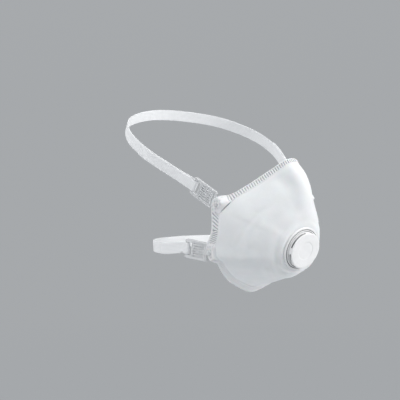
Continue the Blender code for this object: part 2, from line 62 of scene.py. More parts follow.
# ---------------------------------------------------------------- the CAD's driving dimensions, mm
# Each station of the half outline, from the nose to the chin on the +X side: foot of the cup wall,
# outer edge of the welded flange, handle that the wall leaves its foot along, reach of the front.
STATIONS = np.array([
    (0.0, -31.0, 55.3, 0.0, -28.0, 59.3, 0.0, -18.9, -14.2, 25.0),
    (7.0, -30.3, 53.6, 7.8, -27.0, 57.4, 2.6, -16.0, -12.8, 22.7),
    (16.2, -23.2, 45.2, 18.0, -19.3, 49.0, 2.4, -11.6, -11.0, 16.3),
    (30.0, -13.0, 33.8, 32.0, -9.3, 37.7, 1.2, -10.9, -5.8, 8.0),
    (42.0, -4.1, 25.8, 45.0, -0.9, 29.0, 1.1, -9.4, -3.3, 3.8),
    (49.5, 0.8, 18.2, 52.5, 5.0, 27.0, 0.5, -8.4, -2.1, 3.2),
    (53.0, 4.0, 13.0, 56.5, 11.8, 22.0, 0.3, -7.5, -1.0, 3.0),
    (54.3, 5.0, 6.5, 56.8, 11.8, 9.3, 0.2, -7.5, 0.0, 2.7),
    (54.8, 5.5, -5.0, 56.8, 12.5, -4.0, 0.0, -8.0, 0.0, 2.4),
    (54.3, 9.0, -16.0, 56.5, 18.5, -15.5, 0.0, -11.0, 0.0, 2.0),
    (53.0, 9.7, -25.1, 55.5, 16.7, -26.1, 0.0, -13.0, 0.5, 2.3),
    (48.4, 8.0, -29.9, 50.4, 12.5, -31.4, 0.0, -14.0, 0.5, 2.6),
    (39.3, 10.0, -38.5, 41.8, 14.0, -41.5, 0.3, -17.0, 1.0, 3.4),
    (25.1, 14.3, -47.1, 26.6, 18.8, -51.1, 0.3, -20.0, 2.5, 3.2),
    (0.0, 17.5, -55.0, 0.0, 22.0, -60.3, 0.0, -22.0, 4.0, 3.0),
])
MIRROR = np.array([-1, 1, 1, -1, 1, 1, -1, 1, 1, 1])
FAN_CENTRE_Z = -8.0
COLUMNS_PER_STATION, WALL_STEP = 60, 5
COLUMNS = COLUMNS_PER_STATION * 2 * (len(STATIONS) - 1)
# Rows of the wall from the valve pad to its foot, and of the flange from the foot to the edge.
WALL_SHARES = np.concatenate((np.arange(1, 46) / 48, (0.953, 0.966, 0.977, 0.985, 0.991, 0.996, 1.0)))
FLANGE_SHARES = np.array([
    0.03, 0.07, 0.11, 0.16, 0.22, 0.29, 0.36, 0.44, 0.52, 0.60, 0.68, 0.75, 0.82, 0.88, 0.93, 0.97, 1.0,
])
FILTER_DEPTH, FILTER_THICK = 1.1, 0.7
LINER_DEPTH, LINER_THICK = 2.1, 0.6
CLIP_DEPTH, CLIP_THICK = 3.0, 0.5
FOAM_DEPTH, FOAM_THICK = 3.8, 3.0
OUTER_THICK, RIM_THICK = 0.8, 1.0
CLIP_T, FOAM_T, NOSE_STATIONS = (5 / 7, 6 / 7), (4 / 7, 6 / 7), 3

VALVE_CENTRE = np.array([0.0, -39.5, -18.0])
VALVE_TILT = math.radians(17.0)
VALVE_UP = np.array([0, -math.sin(VALVE_TILT), math.cos(VALVE_TILT)])
VALVE_OUT = np.array([0, -math.cos(VALVE_TILT), -math.sin(VALVE_TILT)])
PAD_RADIUS, HOLE_RADIUS, SPIGOT_RADIUS, SEAT_BORE, SEAT_RADIUS = 21.2, 15.0, 14.4, 11.4, 19.4
COVER_RADIUS, COVER_TOP = 16.0, 6.8
WINDOWS, WINDOW_START, WINDOW_END = 4, 10, 80  # how many, and the degrees that the first one spans
FLAP_RADIUS, FLAP_HINGE_Y, FLAP_BASE, FLAP_THICK = 12.6, 10.0, 2.2, 0.4

EAR_PLANE_X = 56.6
STUDS = {"upper": (6.8, 19.5), "lower": (15.2, -23.0)}
SIDES = {"right": -1, "left": 1}
EAR_FLAT_RADIUS, EAR_BLEND_RADIUS = 6.0, 9.5
STUD_RADIUS, STUD_HEAD_RADIUS, STUD_CAP_RADIUS = 0.9, 1.9, 2.3
EYE_THICK, EYE_RADIUS = 1.0, 2.7
EYE_X = EAR_PLANE_X - OUTER_THICK - 1.4 - EYE_THICK / 2
BUCKLE_START, BUCKLE_END, BUCKLE_WIDTH, BUCKLE_THICK = 6.5, 31.0, 16.5, 2.0
BAR_WIDTH, SLOT_WIDTH, SLOT_HEIGHT = 3.0, 4.2, 11.4
GROOVES, GROOVE_PITCH, GROOVE_WIDTH = 6, 2.2, 1.1
BUCKLE_POSE = {"upper": (34.0, 18.0), "lower": (6.2, 8.0)}  # slope and outward lean in degrees

BAND_WIDTH, BAND_THICK, BAND_STEP = 10.0, 0.9, 1.5
FOLD_STEPS = 16
# The band turns from the buckle's plane to the head's surface over TURN_LENGTH, and its tail comes
# down onto it over TAIL_SETTLE.
TURN_LENGTH, TAIL_SETTLE = 40, 20
BANDS = {  # the run behind the buckle, the head's centre and radii, and the length of the loose tail
    "upper": (
        [
            (68.5, 51.5, 48.2), (77.5, 78.0, 64.0), (73.0, 105.0, 78.0),
            (49.0, 132.0, 90.0), (0.0, 149.0, 95.5),
        ],
        (0.0, 62.0, 48.0), (80.0, 96.0, 118.0), 58.0,
    ),
    "lower": (
        [(61.5, 66.0, -21.0), (57.0, 88.0, -21.0), (36.0, 110.0, -21.0), (0.0, 119.0, -21.0)],
        (0.0, 54.0, 30.0), (66.0, 66.0, 240.0), 26.0,
    ),
}

# ---------------------------------------------------------------- surface relief, mm
# Welded rim by station: pitch and depth of the ribs, where they start and end across the flange,
# how far their outer end leads towards the nose, how much of the tab's dimpled pattern shows, and
# how deep the crease along the foot of the wall is.
# The grooves and the crease are also darkened: partly the welded felt's own grey, partly painted shade.
RIM = np.array([
    (0.0, 2.1, 0.64, 0.14, 0.92, 0.0, 0.0, 0.05),
    (1.0, 2.1, 0.64, 0.14, 0.92, 0.6, 0.0, 0.05),
    (2.0, 2.2, 0.60, 0.16, 0.92, 1.0, 0.0, 0.05),
    (3.2, 2.3, 0.50, 0.16, 0.92, 1.4, 0.0, 0.08),
    (4.0, 2.5, 0.54, 0.06, 1.00, 1.7, 0.0, 0.12),
    (4.42, 2.5, 0.54, 0.06, 1.00, 1.7, 0.0, 0.30),
    (4.50, 2.5, 0.00, 0.06, 1.00, 1.7, 0.0, 0.45),
    (4.75, 2.5, 0.00, 0.06, 1.00, 1.7, 0.5, 0.60),
    (5.3, 2.9, 0.00, 0.04, 1.06, 2.6, 1.0, 0.60),
    (5.9, 3.1, 0.00, 0.04, 1.02, 2.0, 1.0, 0.36),
    (6.15, 3.1, 0.00, 0.04, 1.02, 2.0, 1.0, 0.08),
    (6.58, 3.1, 0.00, 0.05, 0.98, 2.2, 0.9, 0.08),
    (6.66, 3.1, 0.64, 0.05, 0.96, 2.2, 0.3, 0.10),
    (7.2, 3.1, 0.66, 0.05, 0.90, 3.2, 0.0, 0.10),
    (7.76, 3.1, 0.64, 0.05, 0.84, 3.4, 0.0, 0.08),
    (7.94, 2.2, 0.62, 0.05, 0.80, -4.2, 0.0, 0.08),
    (8.75, 2.1, 0.58, 0.05, 0.82, -4.8, 0.0, 0.08),
    (8.95, 2.1, 0.00, 0.08, 0.90, -2.2, 0.8, 0.10),
    (10.3, 1.8, 0.00, 0.10, 0.85, 0.0, 1.0, 0.10),
    (10.8, 1.8, 0.22, 0.15, 0.74, 0.0, 0.1, 0.12),
    (12.5, 1.8, 0.22, 0.16, 0.72, 0.0, 0.0, 0.16),
    (14.0, 1.8, 0.20, 0.18, 0.70, 0.0, 0.0, 0.16),
])
# Soft moulded steps round the valve: distance from the valve's axis, width, height.
VALVE_STEPS = ((21.8, 1.7, 0.35), (25.2, 2.1, -1.35), (31.0, 3.4, 1.0))
# The side crease as (height, distance from the middle plane).
CREASE = np.array([
    (-26.0, 45.3), (-17.0, 46.6), (-10.0, 45.6), (-1.0, 43.7), (5.0, 40.3), (11.0, 36.5), (18.0, 30.0),
])
CREASE_LOW, CREASE_HIGH, CREASE_FADE = -34, 20, 14
CREASE_DEPTH, CREASE_WIDTH = 0.85, 2.4
# The soft swell that runs along the crease, nearer the middle: height, distance from it, width.
SWELL_HEIGHT, SWELL_AWAY, SWELL_WIDTH = 0.95, 5.2, 3.6
# Forms beside and along the nose: height, distance from the middle plane and width, level and reach.
NOSE_FORMS = ((-1.7, 13.0, 5.5, 39.0, 9.0), (0.3, 0.0, 5.0, 40.0, 14.0))
RIPPLE_HEIGHT = 0.10
# Ribs of the rim: how square they are and how much wider than their gaps. Fold: its width.
RIB_SQUARENESS, RIB_WIDENING, FOLD_WIDTH = 2.6, 0.4, 0.36
# Lengthwise ridges of the elastic, and the pitch and stagger of its cross threads.
BAND_EDGE, RIDGES, RIDGE_STEPS, RIDGE_HEIGHT = 0.25, 8, 4, 0.05
RIDGE_PITCH = (BAND_WIDTH - 2 * BAND_EDGE) / RIDGES
WEFT_PITCH, WEFT_STAGGER = 0.8, 0.4


def smooth_step(value):
    value = np.clip(value, 0.0, 1.0)
    return value * value * (3 - 2 * value)


def bump(value, centre, width):
    return np.exp(-(((value - centre) / width) ** 2))


# ---------------------------------------------------------------- mesh helpers
def new_piece(name, points, faces, finish, place=None):
    """A smooth mesh from points in millimetres, with place as a 4x4 matrix in millimetres."""
    points = np.asarray(points, float)
    if place is not None:
        place = np.array(place)
        points = points @ place[:3, :3].T + place[:3, 3]
    mesh = bpy.data.meshes.new(name)
    mesh.from_pydata((points * MM).tolist(), [], faces)
    obj = bpy.data.objects.new(name, mesh)
    bpy.context.scene.collection.objects.link(obj)
    mesh.materials.append(finish)
    tidy_faces(obj)
    return obj


def tidy_faces(obj, angle=None):
    """Faces point outwards and are shaded smooth, with edges sharper than the angle kept crisp."""
    shape = bmesh.new()
    shape.from_mesh(obj.data)
    bmesh.ops.recalc_face_normals(shape, faces=shape.faces)
    shape.to_mesh(obj.data)
    shape.free()
    obj.data.shade_smooth()
    if angle is not None:
        obj.data.set_sharp_from_angle(angle=math.radians(angle))


def bake_modifiers(obj):
    graph = bpy.context.evaluated_depsgraph_get()
    made = bpy.data.meshes.new_from_object(obj.evaluated_get(graph))
    obj.modifiers.clear()
    obj.data = made


def combine(obj, tool, operation):
    step = obj.modifiers.new(operation, "BOOLEAN")
    step.operation, step.object, step.solver = operation, tool, "EXACT"
    step.use_self = True
    bake_modifiers(obj)
    bpy.data.objects.remove(tool, do_unlink=True)


def round_edges(obj, width, segments=2, angle=35):
    step = obj.modifiers.new("round", "BEVEL")
    step.width, step.segments = width * MM, segments
    step.limit_method, step.angle_limit = "ANGLE", math.radians(angle)
    bake_modifiers(obj)
    tidy_faces(obj, 50)


def rounded(outline, radius=0.18, steps=3):
    """A closed outline whose corners are rounded, apart from those on the axis."""
    made = []
    for i, corner in enumerate(outline):
        corner, before, after = (Vector(outline[k % len(outline)]) for k in (i, i - 1, i + 1))
        if corner.x < 1e-6:
            made.append(tuple(corner))
            continue
        back, ahead = before - corner, after - corner
        start = corner + back.normalized() * min(radius, back.length * 0.45)
        end = corner + ahead.normalized() * min(radius, ahead.length * 0.45)
        for k in range(steps + 1):
            t = k / steps
            made.append(tuple(start * (1 - t) ** 2 + corner * (2 * t * (1 - t)) + end * t**2))
    return made


def revolve(name, outline, finish, place, steps=120, radius=0.18):
    """A solid turned about Z from a closed (radius, height) outline."""
    ring = rounded(outline, radius)
    points, faces = [], []
    on_axis = [r < 1e-6 for r, _ in ring]
    index = {}
    for k in range(steps):
        turn = 2 * math.pi * k / steps
        for i, (r, h) in enumerate(ring):
            if on_axis[i] and k > 0:
                index[k, i] = index[0, i]
                continue
            index[k, i] = len(points)
            points.append((r * math.cos(turn), r * math.sin(turn), h))
    for k in range(steps):
        for i in range(len(ring)):
            j, n = (i + 1) % len(ring), (k + 1) % steps
            face = list(dict.fromkeys((index[k, i], index[n, i], index[n, j], index[k, j])))
            if len(face) > 2:
                faces.append(face)
    return new_piece(name, points, faces, finish, place)


def box_piece(name, low, high, finish, place):
    corners = [(x, y, z) for x in (low[0], high[0]) for y in (low[1], high[1]) for z in (low[2], high[2])]
    faces = [(0, 1, 3, 2), (4, 6, 7, 5), (0, 4, 5, 1), (2, 3, 7, 6), (0, 2, 6, 4), (1, 5, 7, 3)]
    return new_piece(name, corners, faces, finish, place)


def arc(centre, radius, start, end, steps):
    angles = [math.radians(start + (end - start) * k / steps) for k in range(steps + 1)]
    return [(centre[0] + radius * math.cos(a), centre[1] + radius * math.sin(a)) for a in angles]


def plate(name, outline, low, high, finish, place=None):
    """A flat plate from an (x, y) outline."""
    count = len(outline)
    points = [(x, y, z) for z in (low, high) for x, y in outline]
    faces = [list(range(count))[::-1], list(range(count, 2 * count))]
    faces += [(i, (i + 1) % count, (i + 1) % count + count, i + count) for i in range(count)]
    return new_piece(name, points, faces, finish, place)


def axes_matrix(x_axis, y_axis, z_axis, origin):
    made = Matrix((x_axis, y_axis, z_axis)).transposed().to_4x4()
    made.translation = Vector(origin)
    return made


def stand_for(obj, node):
    """The piece takes the place of the CAD node, on that node's body."""
    obj.name = obj.data.name = f"{node}_finished"
    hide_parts(node)
    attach(obj, frame["nodes"][node]["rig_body"])
    return obj


# ---------------------------------------------------------------- materials
class Finish:
    """A node material with short calls for the procedural parts."""

    def __init__(self, name, colour, roughness, **constants):
        self.made = bpy.data.materials.new(name)
        self.made.use_nodes = True
        self.tree = self.made.node_tree
        self.shader = self.tree.nodes["Principled BSDF"]
        self.shader.inputs["Base Color"].default_value = (*colour, 1)
        self.shader.inputs["Roughness"].default_value = roughness
        for socket, value in constants.items():
            self.shader.inputs[socket.replace("_", " ")].default_value = value
        self.where = self.node("ShaderNodeTexCoord").outputs["Object"]
        self.height = None

    def node(self, kind, **values):
        made = self.tree.nodes.new(kind)
        for key, value in values.items():
            if hasattr(made, key):
                setattr(made, key, value)
            else:
                self.feed(made.inputs[key.replace("_", " ")], value)
        return made

    def feed(self, socket, value):
        if isinstance(value, bpy.types.NodeSocket):
            self.tree.links.new(value, socket)
        else:
            socket.default_value = value

    def noise(self, size, detail=3.0, distortion=0.0, stretch=None):
        """Noise whose blotches are about size millimetres across, as a value from 0 to 1."""
        where = self.where
        if stretch:
            mapping = self.node("ShaderNodeMapping")
            self.feed(mapping.inputs["Vector"], where)
            mapping.inputs["Scale"].default_value = stretch
            where = mapping.outputs["Vector"]
        return self.node(
            "ShaderNodeTexNoise", Vector=where, Scale=1 / (size * MM), Detail=detail, Distortion=distortion
        ).outputs[0]

    def cells(self, size):
        return self.node("ShaderNodeTexVoronoi", Vector=self.where, Scale=1 / (size * MM)).outputs["Distance"]

    def math(self, operation, a, b=0.0, c=0.0):
        made = self.tree.nodes.new("ShaderNodeMath")
        made.operation = operation
        for socket, value in zip(made.inputs, (a, b, c)):
            self.feed(socket, value)
        return made.outputs[0]

    def spread(self, value, low, high, to_low=0.0, to_high=1.0):
        made = self.node("ShaderNodeMapRange")
        for socket, number in zip(made.inputs, (value, low, high, to_low, to_high)):
            self.feed(socket, number)
        return made.outputs[0]

    def attribute(self, name):
        return self.node("ShaderNodeAttribute", attribute_name=name)

    def blend(self, share, first, second):
        """A colour between the first, at share 0, and the second, at share 1."""
        made = self.tree.nodes.new("ShaderNodeMix")
        made.data_type = "RGBA"
        colours = [s for s in made.inputs if s.type == "RGBA"]
        self.feed(made.inputs[0], share)
        for socket, value in zip(colours, (first, second)):
            self.feed(socket, value if isinstance(value, bpy.types.NodeSocket) else (*value, 1))
        return next(s for s in made.outputs if s.type == "RGBA")

    def colour(self, value):
        self.feed(self.shader.inputs["Base Color"], value)

    def rough(self, value):
        self.feed(self.shader.inputs["Roughness"], value)

    def relief(self, value, depth, strength=1.0):
        """Adds a bump of this depth in millimetres."""
        made = self.node("ShaderNodeBump", Strength=strength, Distance=depth * MM, Height=value)
        if self.height is not None:
            self.feed(made.inputs["Normal"], self.height)
        self.height = made.outputs["Normal"]
        self.feed(self.shader.inputs["Normal"], self.height)


def nonwoven(name, white, shade, weld_grey_and_shade, fibre, roughness):
    """Heat-moulded felt: short crossed fibres, faint cloudy thickness, and glossier grey welded areas, whose
    grey is partly painted shade in the rib grooves and along the crease.
    """
    made = Finish(
        name, white, roughness, Sheen_Weight=0.12, Sheen_Roughness=0.6,
        Subsurface_Weight=0.08, Subsurface_Scale=0.0015,
    )
    cloud = made.noise(9.0, 4.0)
    along = made.noise(fibre, 5.0, 1.2, (1.0, 0.35, 1.0))
    across = made.noise(fibre, 5.0, 1.2, (1.0, 1.0, 0.3))
    web = made.math("MAXIMUM", along, across)
    tone = made.math("MULTIPLY_ADD", web, 0.5, made.math("MULTIPLY", cloud, 0.5))
    weld = made.attribute("weld").outputs["Fac"]
    plain = made.blend(made.spread(tone, 0.35, 0.65), shade, white)
    # Welded grey, partly painted shade in the rib grooves and along the crease at the foot of the wall.
    made.colour(made.blend(weld, plain, weld_grey_and_shade))
    made.rough(made.spread(weld, 0.0, 1.0, roughness, 0.5))
    made.relief(web, 0.12, 0.35)
    made.relief(cloud, 0.35, 0.3)
    return made.made


def moulded(name, colour, shadow, roughness, **constants):
    """Injection-moulded plastic: faint flow marks, a satin grain, and painted shade deep inside the valve."""
    made = Finish(name, colour, roughness, **constants)
    flow = made.noise(6.0, 3.0, 0.8)
    darker = tuple(c * 0.965 for c in colour)
    plain = made.blend(made.spread(flow, 0.35, 0.7), colour, darker)
    # Painted shade: the shadow colour goes where the inside attribute marks the valve's recesses.
    made.colour(made.blend(made.attribute("inside").outputs["Fac"], plain, shadow))
    made.rough(made.spread(flow, 0.3, 0.7, roughness * 0.85, roughness * 1.25))
    made.relief(made.noise(0.25, 2.0), 0.01, 0.4)
    made.relief(flow, 0.05, 0.25)
    return made.made


def foam_finish():
    made = Finish("foam_cells", (0.62, 0.64, 0.67), 0.95, Subsurface_Weight=0.1, Subsurface_Scale=0.001)
    cells = made.cells(0.55)
    made.colour(made.blend(made.spread(cells, 0.1, 0.6), (0.45, 0.47, 0.5), (0.72, 0.74, 0.77)))
    made.relief(cells, 0.3, 0.8)
    return made.made


def metal_finish():
    made = Finish("satin_aluminium", (0.78, 0.79, 0.8), 0.35, Metallic=1.0)
    brushed = made.noise(0.4, 4.0, 0.0, (0.05, 1.0, 1.0))
    made.rough(made.spread(brushed, 0.3, 0.7, 0.28, 0.5))
    made.relief(brushed, 0.02, 0.4)
    return made.made


def elastic_finish():
    """Woven elastic from the strap's own (across, along) coordinates in millimetres."""
    made = Finish("woven_elastic", (0.86, 0.87, 0.885), 0.8, Sheen_Weight=0.25, Sheen_Roughness=0.45)
    place = made.node("ShaderNodeSeparateXYZ", Vector=made.attribute("weave").outputs["Vector"])
    across, along = place.outputs["X"], place.outputs["Y"]
    warp = made.math("ABSOLUTE", made.math("SINE", made.math("MULTIPLY", across, math.pi / RIDGE_PITCH)))
    row = made.math("ROUND", made.math("DIVIDE", across, RIDGE_PITCH))
    shifted = made.math("MULTIPLY_ADD", row, WEFT_STAGGER, along)
    weft = made.math("ABSOLUTE", made.math("SINE", made.math("MULTIPLY", shifted, math.pi / WEFT_PITCH)))
    stitch = made.math("MULTIPLY_ADD", weft, 0.35, 0.65)
    thread = made.math("MULTIPLY", made.math("POWER", warp, 0.5), stitch)
    fluff = made.noise(0.6, 3.0)
    made.colour(made.blend(made.spread(thread, 0.1, 0.75), (0.74, 0.755, 0.775), (0.93, 0.935, 0.945)))
    made.rough(made.spread(fluff, 0.3, 0.7, 0.7, 0.9))
    made.relief(thread, 0.02, 0.4)
    made.relief(fluff, 0.006, 0.3)
    return made.made


def clear_finish():
    made = Finish(
        "clear_moulded", (0.95, 0.955, 0.965), 0.16, Transmission_Weight=0.42, IOR=1.46,
        Specular_IOR_Level=0.6,
    )
    flow = made.noise(4.0, 3.0, 0.6)
    made.colour(made.blend(made.spread(flow, 0.3, 0.7), (0.95, 0.955, 0.965), (0.91, 0.92, 0.935)))
    made.rough(made.spread(flow, 0.3, 0.7, 0.12, 0.24))
    made.relief(made.noise(0.3, 2.0), 0.006, 0.4)
    return made.made


def silicone_finish():
    made = Finish(
        "silicone_sheet", (0.74, 0.75, 0.73), 0.42, Transmission_Weight=0.25, IOR=1.41,
        Subsurface_Weight=0.2, Subsurface_Scale=0.001,
    )
    cloud = made.noise(2.5, 3.0)
    made.colour(made.blend(cloud, (0.70, 0.71, 0.69), (0.80, 0.81, 0.79)))
    made.rough(made.spread(cloud, 0.3, 0.7, 0.36, 0.52))
    made.relief(made.noise(0.3, 2.0), 0.015, 0.5)
    return made.made


FINISHES = {
    # The felt's third colour is the welded grey, partly painted shade in the rim's grooves and crease.
    "nonwoven": nonwoven(
        "moulded_felt", (0.86, 0.87, 0.88), (0.815, 0.825, 0.84), (0.40, 0.42, 0.45), 0.7, 0.82
    ),
    "filter": nonwoven("meltblown_web", (0.88, 0.89, 0.90), (0.84, 0.85, 0.87), (0.7, 0.7, 0.7), 0.35, 0.9),
    "liner": nonwoven("soft_liner", (0.82, 0.82, 0.81), (0.74, 0.745, 0.74), (0.6, 0.6, 0.6), 1.0, 0.9),
    "foam": foam_finish(),
    "metal": metal_finish(),
    # The valve's second colour is painted shade for its recesses.
    "valve": moulded("valve_plastic", (0.93, 0.93, 0.935), (0.20, 0.20, 0.21), 0.34, Specular_IOR_Level=0.5),
    "silicone": silicone_finish(),
    "clear": clear_finish(),
    "elastic": elastic_finish(),
}


# ---------------------------------------------------------------- the cup
def catmull_rom(a, b, c, d, per_segment):
    """Points from each b to its c, with a before them and d after."""
    t = (np.arange(per_segment) / per_segment)[None, :, None]
    return (b * 2 + (c - a) * t + (a * 2 - b * 5 + c * 4 - d) * t**2 + (b * 3 - a - c * 3 + d) * t**3) / 2


def closed_spline(points, per_segment):
    a, b, c, d = (np.roll(points, k, axis=0)[:, None] for k in (1, 0, -1, -2))
    return catmull_rom(a, b, c, d, per_segment).reshape(-1, points.shape[1])


class Cup:
    """The moulded surface as a grid of rows, from the valve hole to the outer edge, and columns round it."""

    def __init__(self):
        loop = closed_spline(np.vstack((STATIONS, STATIONS[-2:0:-1] * MIRROR)), COLUMNS_PER_STATION)
        feet, edges, handles, reach = np.split(loop, (3, 6, 9), axis=1)
        angle = np.arctan2(feet[:, 2] - FAN_CENTRE_Z, feet[:, 0])[:, None]
        spokes = np.cos(angle) * np.array([1.0, 0, 0]) + np.sin(angle) * VALVE_UP
        rows = [VALVE_CENTRE + spokes * radius for radius in np.linspace(HOLE_RADIUS, PAD_RADIUS, 5)]
        start = rows[-1]
        self.pad_rows = len(rows)
        curve = (start, start + spokes * reach, feet + handles, feet)
        for t in WALL_SHARES:
            weights = ((1 - t) ** 3, 3 * t * (1 - t) ** 2, 3 * t**2 * (1 - t), t**3)
            rows.append(sum(w * p for w, p in zip(weights, curve)))
        self.wall_end = len(rows) - 1
        for share in FLANGE_SHARES:
            rows.append(self.pressed(feet + (edges - feet) * share, share))
        self.points = np.array(rows)
        self.wall_t = np.concatenate((np.zeros(self.pad_rows), WALL_SHARES, np.ones(len(FLANGE_SHARES))))
        self.flange_v = np.concatenate((np.zeros(self.wall_end + 1), FLANGE_SHARES))
        ahead = np.roll(self.points, -1, axis=1) - np.roll(self.points, 1, axis=1)
        outward = np.gradient(self.points, axis=0)
        normals = np.cross(ahead, outward)
        self.normals = normals / np.linalg.norm(normals, axis=2, keepdims=True)
        self.wall_relief = self.moulded_relief()
        self.groove, self.weld = self.rim_relief()

    @staticmethod
    def pressed(points, share):
        """The flange is pressed flat and square to X round each stud."""
        for y, z in STUDS.values():
            away = np.hypot(points[:, 1] - y, points[:, 2] - z)
            weight = smooth_step((EAR_BLEND_RADIUS - away) / (EAR_BLEND_RADIUS - EAR_FLAT_RADIUS))
            weight = weight * min(1.0, share * 5)
            x = points[:, 0]
            points = np.column_stack((x + (np.sign(x) * EAR_PLANE_X - x) * weight, points[:, 1:]))
        return points

    def moulded_relief(self):
        """How far the moulded wall stands out, in millimetres, from its plain surface."""
        x, y, z = np.moveaxis(self.points, 2, 0)
        wide = np.abs(x)
        from_valve = self.points - VALVE_CENTRE
        across, rise = from_valve[..., 0], from_valve @ VALVE_UP
        radius, depth = np.hypot(across, rise), from_valve @ VALVE_OUT
        away = np.hypot(radius, depth)
        low_side = 0.5 - 0.5 * np.sin(np.arctan2(rise, np.abs(across)) - 0.25)
        relief = sum(h * bump(away, r, w) for r, w, h in VALVE_STEPS) * (0.22 + 0.78 * smooth_step(low_side))
        for height, beside, width, level, reach in NOSE_FORMS:
            relief += height * bump(wide, beside, width) * bump(z, level, reach)
        line = np.interp(z, CREASE[:, 0], CREASE[:, 1])
        fade = smooth_step((z - CREASE_LOW) / CREASE_FADE) * smooth_step((CREASE_HIGH - z) / CREASE_FADE)
        sunk = -CREASE_DEPTH * bump(wide, line, CREASE_WIDTH)
        relief += fade * (sunk + SWELL_HEIGHT * bump(wide, line - SWELL_AWAY, SWELL_WIDTH))
        ripple = np.sin(x * 0.21 + z * 0.13) * np.sin(z * 0.17 - y * 0.11)
        relief += RIPPLE_HEIGHT * (ripple + 0.6 * np.sin(z * 0.31 + wide * 0.27))
        margin = smooth_step(self.wall_t / 0.10) * smooth_step((1 - self.wall_t) / 0.12)
        return relief * margin[:, None]

    def rim_relief(self):
        """How deep the welded rim is pressed at each point, and how strongly each point is welded, which also
        paints shade in the grooves and the crease.
        """
        middle = self.points[self.wall_end + len(FLANGE_SHARES) // 2]
        half = COLUMNS // 2
        lengths = np.linalg.norm(np.diff(middle[: half + 1], axis=0), axis=1)
        stations = np.arange(half + 1) / COLUMNS_PER_STATION
        columns = [np.interp(stations, RIM[:, 0], RIM[:, k]) for k in range(1, 8)]
        pitch = columns[0]
        turns = np.concatenate(([0.0], np.cumsum(lengths / (0.5 * (pitch[1:] + pitch[:-1])))))
        both_sides = [np.concatenate((v, v[-2:0:-1]))[None, :] for v in (*columns, turns)]
        pitch, depth, low, high, lead, spots, crease, turns = both_sides
        v = self.flange_v[:, None]
        on_flange = (v > 0) * 1.0
        wave = np.cos(2 * math.pi * (turns + lead * (v - 0.5) / pitch))
        rib = 0.5 + 0.5 * np.tanh(RIB_SQUARENESS * (wave + RIB_WIDENING))
        gap = (1 - rib) * smooth_step((v - low) / 0.08) * smooth_step((high - v) / 0.08) * on_flange
        y, z = self.points[..., 1], self.points[..., 2]
        dimple = np.sin((y * 0.8 + z * 0.6) * 1.5) * np.sin((z * 0.8 - y * 0.6) * 1.35)
        dimple = smooth_step((dimple - 0.1) / 0.6) * smooth_step((v - 0.16) / 0.1)
        dimple = dimple * smooth_step((0.95 - v) / 0.1)
        pressed = spots * smooth_step((v - 0.15) / 0.06) * smooth_step((0.97 - v) / 0.05)
        steps = np.linalg.norm(np.diff(self.points, axis=0), axis=2)
        run = np.concatenate((np.zeros((1, COLUMNS)), np.cumsum(steps, axis=0)))
        away = run - run[self.wall_end]
        fold = bump(away, 0.0, FOLD_WIDTH)
        bead = bump(away, 1.0, 0.5) * np.clip(crease / 0.5, 0, 1)
        sunk = gap * depth + 0.3 * dimple * spots + 0.22 * pressed + crease * fold - 0.25 * bead
        # Deeper ribs and the crease get more grey: partly the welded felt's own, partly painted shade.
        grey = np.clip(depth / 0.6, 0, 1) ** 2
        weld = gap * grey + 0.55 * dimple * spots + 0.16 * pressed + 1.3 * crease * fold
        return sunk, np.clip(weld, 0, 1)

    def layer(self, depth):
        """The wall's surface sunk by depth below the outside, as rows of points."""
        return self.points + self.normals * (self.wall_relief - depth)[..., None]


def two_sided(front, back, closed):
    """Faces of a solid between two equal grids of point numbers; the columns close into a loop if closed."""
    faces = []
    rows, columns = front.shape
    for r in range(rows - 1):
        for c in range(columns if closed else columns - 1):
            n = (c + 1) % columns
            faces.append((front[r, c], front[r + 1, c], front[r + 1, n], front[r, n]))
            faces.append((back[r, c], back[r, n], back[r + 1, n], back[r + 1, c]))
    return faces


def edge_strip(front, back):
    return [(front[c], front[c + 1], back[c + 1], back[c]) for c in range(len(front) - 1)]


def cup_layer(name, cup, outside, inside, rows, columns, closed, finish):
    """A thin solid between two depth fields over part of the cup's grid."""
    outer, inner = cup.layer(outside)[rows][:, columns], cup.layer(inside)[rows][:, columns]
    shape = outer.shape[:2]
    front = np.arange(shape[0] * shape[1]).reshape(shape)
    back = front + front.size
    faces = two_sided(front, back, closed)
    for r in (0, -1):
        first, second = front[r], back[r]
        if closed:
            first, second = np.append(first, first[0]), np.append(second, second[0])
        faces += edge_strip(first, second)
    if not closed:
        faces += edge_strip(front[:, 0], back[:, 0]) + edge_strip(front[:, -1], back[:, -1])
    points = np.vstack((outer.reshape(-1, 3), inner.reshape(-1, 3)))
    return new_piece(name, points, [tuple(int(i) for i in f) for f in faces], finish)


